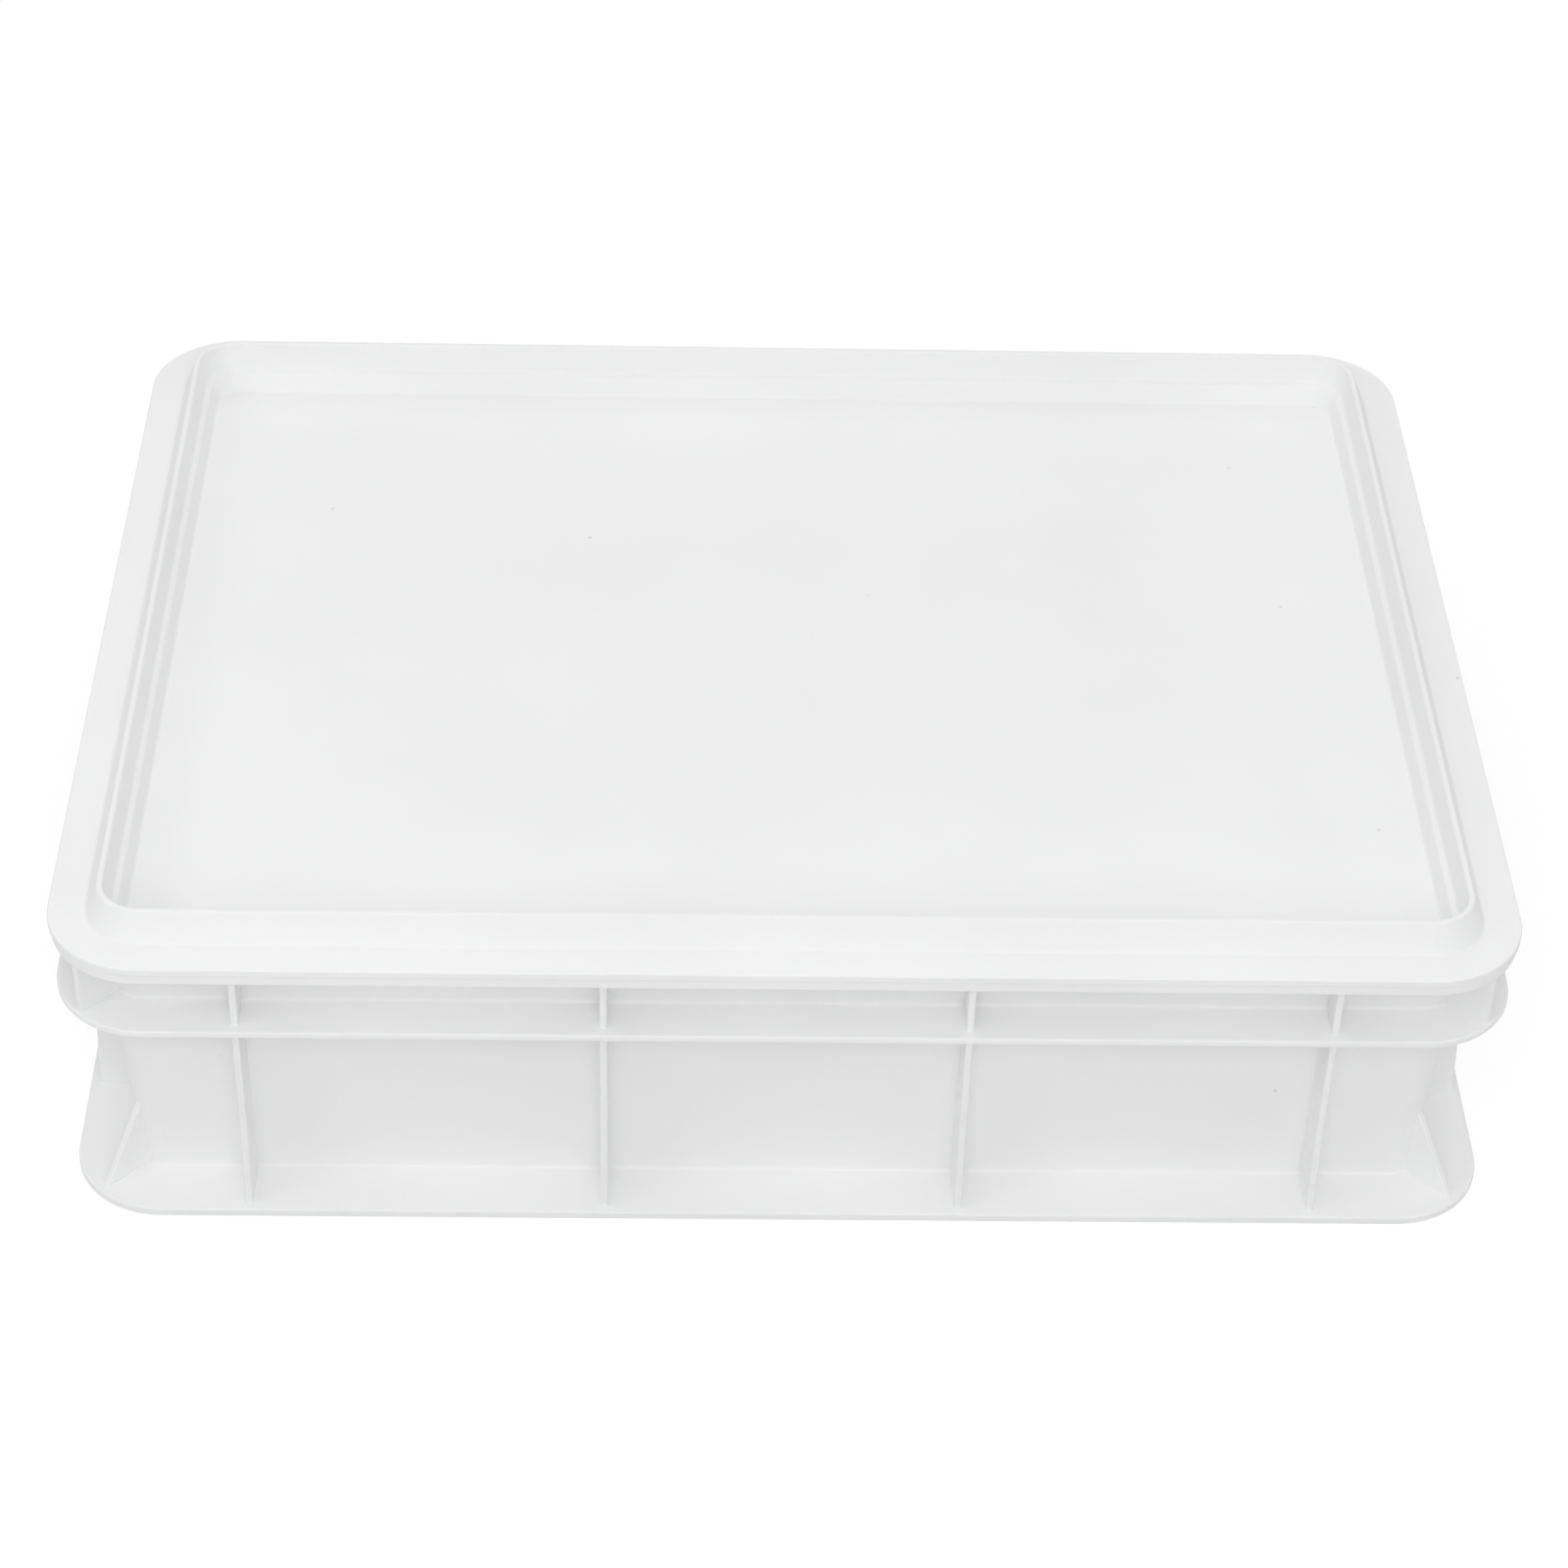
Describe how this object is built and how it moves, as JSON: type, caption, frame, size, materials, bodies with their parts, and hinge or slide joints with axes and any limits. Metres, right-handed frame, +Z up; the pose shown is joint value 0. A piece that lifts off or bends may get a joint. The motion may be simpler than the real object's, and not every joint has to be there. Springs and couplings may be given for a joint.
{
  "type": "dough proofing container",
  "caption": "Shallow rectangular dough proofing box with ribbed flanged walls and a lift-off lid that has a sunken panel inside a raised ridge.",
  "frame": {"origin": "middle of the base, on the surface that the box stands on", "axes": "+X along the long side, to the right in the picture; +Y to the back; +Z up"},
  "size_m": [0.4, 0.31, 0.101],
  "materials": {
    "container_plastic": "satin",
    "lid_plastic": "satin"
  },
  "bodies": {
    "container": {"container": "container_plastic"},
    "lid": {"lid": "lid_plastic"}
  },
  "joints": [
    {"name": "lid_lift", "type": "slide", "parent": "container", "child": "lid", "axis": [0, 0, 1], "range_m": [0, 0.15]}
  ]
}
